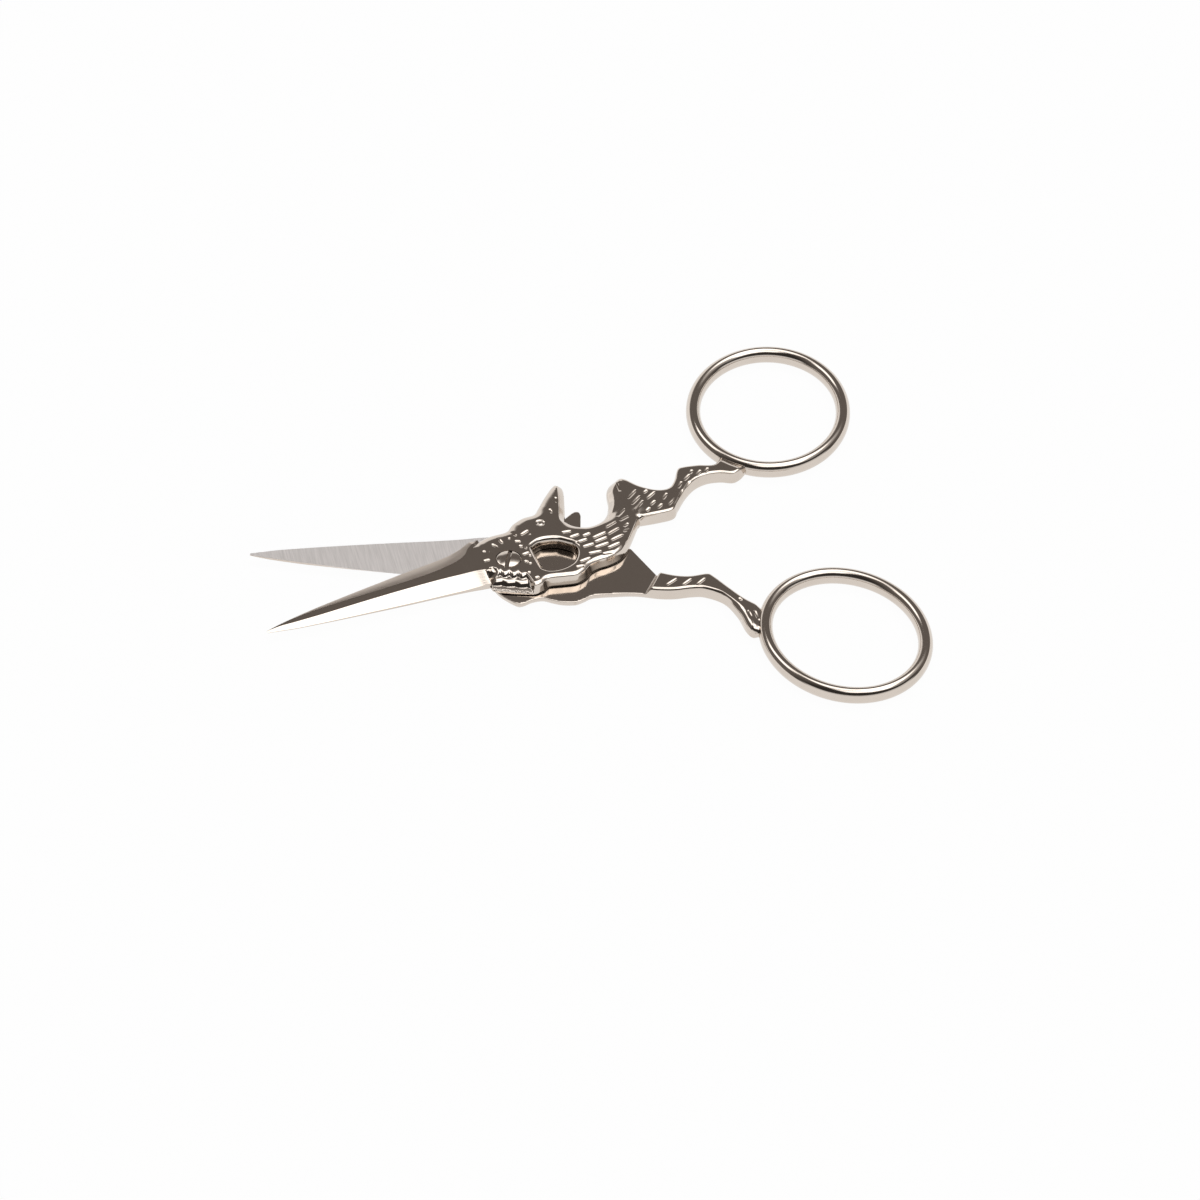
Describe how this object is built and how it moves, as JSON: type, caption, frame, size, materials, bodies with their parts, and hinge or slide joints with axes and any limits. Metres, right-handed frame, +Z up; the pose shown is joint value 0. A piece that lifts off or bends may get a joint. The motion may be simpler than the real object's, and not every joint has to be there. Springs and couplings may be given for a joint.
{
  "type": "embroidery scissors",
  "caption": "Small polished embroidery scissors: slim pointed blades, an animal figure in relief over the pivot, hind legs as handles and oval finger rings, turning on a slotted screw.",
  "frame": {"origin": "on the pivot screw's axis, at the flat back of the rear half, where the scissors lie on a table", "axes": "+X from the tips towards the finger rings along the line that halves the opening, +Z up out of the front face"},
  "size_m": [0.085, 0.0723, 0.0034],
  "materials": {
    "nickel_plate": "polished warm nickel plate over steel, with satin ground inner blade faces",
    "screw_nickel": "polished nickel plate over steel"
  },
  "bodies": {
    "rear": {"rear_half": "nickel_plate", "pivot_screw": "screw_nickel"},
    "front": {"front_half": "nickel_plate"}
  },
  "joints": [
    {"name": "pivot", "type": "hinge", "parent": "rear", "child": "front", "pos_m": [0, 0, 0], "axis": [0, 0, 1], "range_deg": [-27, 63]}
  ]
}
